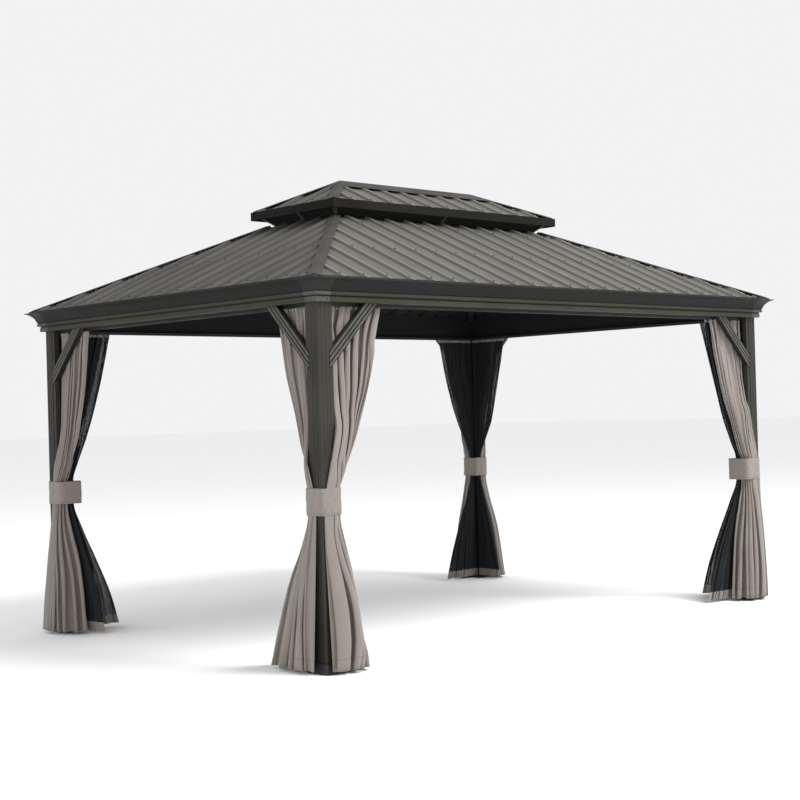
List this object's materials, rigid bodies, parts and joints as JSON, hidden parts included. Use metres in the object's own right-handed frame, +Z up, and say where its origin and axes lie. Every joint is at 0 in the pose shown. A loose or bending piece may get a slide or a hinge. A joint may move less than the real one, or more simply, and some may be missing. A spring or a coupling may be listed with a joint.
{
  "type": "hardtop garden gazebo",
  "caption": "Rectangular metal garden gazebo with a two-tier hipped sheet roof on corner posts with knee braces, and tied-back curtains and netting.",
  "frame": {"origin": "middle of the footprint on the ground, below the ridge", "axes": "+X along the long side and the ridge, -Y towards the front, +Z up"},
  "size_m": [4.27, 3.03, 2.9476],
  "materials": {
    "base_cover": "satin black powder coat",
    "corner_piece": "satin powder coat, a little lighter than the beams",
    "curtain_fabric": "plain woven polyester",
    "fascia": "satin powder coat",
    "frame": "satin powder coat on aluminium",
    "net_mesh": "fine knitted netting with a fabric hem",
    "rafter": "satin powder coat",
    "rail": "satin powder coat",
    "roof_sheet": "matt coated steel sheet",
    "roof_trim": "matt coated steel strip",
    "strut": "satin powder coat",
    "tie_fabric": "plain woven polyester",
    "vent_mesh": "woven black mesh"
  },
  "bodies": {
    "root": {"base_back_left": "base_cover", "base_back_right": "base_cover", "base_front_left": "base_cover", "base_front_right": "base_cover", "braces_back_left": "frame", "braces_back_right": "frame", "braces_front_left": "frame", "braces_front_right": "frame", "curtain_rails": "rail", "curtains_back_left": "curtain_fabric", "curtains_back_right": "curtain_fabric", "curtains_front_left": "curtain_fabric", "curtains_front_right": "curtain_fabric", "eave_back_left": "frame", "eave_back_right": "frame", "eave_corners": "corner_piece", "eave_front_left": "frame", "eave_front_right": "frame", "eave_left_back": "frame", "eave_left_front": "frame", "eave_right_back": "frame", "eave_right_front": "frame", "hip_caps": "roof_trim", "hip_rafters": "rafter", "middle_rafters": "rafter", "nets_back_left": "net_mesh", "nets_back_right": "net_mesh", "nets_front_left": "net_mesh", "nets_front_right": "net_mesh", "post_back_left": "frame", "post_back_right": "frame", "post_front_left": "frame", "post_front_right": "frame", "roof_back": "roof_sheet", "roof_front": "roof_sheet", "roof_left": "roof_sheet", "roof_right": "roof_sheet", "tiebacks": "tie_fabric", "top_caps": "roof_trim", "top_fascia": "fascia", "top_frame": "rafter", "top_roof_back": "roof_sheet", "top_roof_front": "roof_sheet", "top_roof_left": "roof_sheet", "top_roof_right": "roof_sheet", "vent_ring": "rafter", "vent_screen": "vent_mesh", "vent_struts": "strut"}
  },
  "joints": []
}
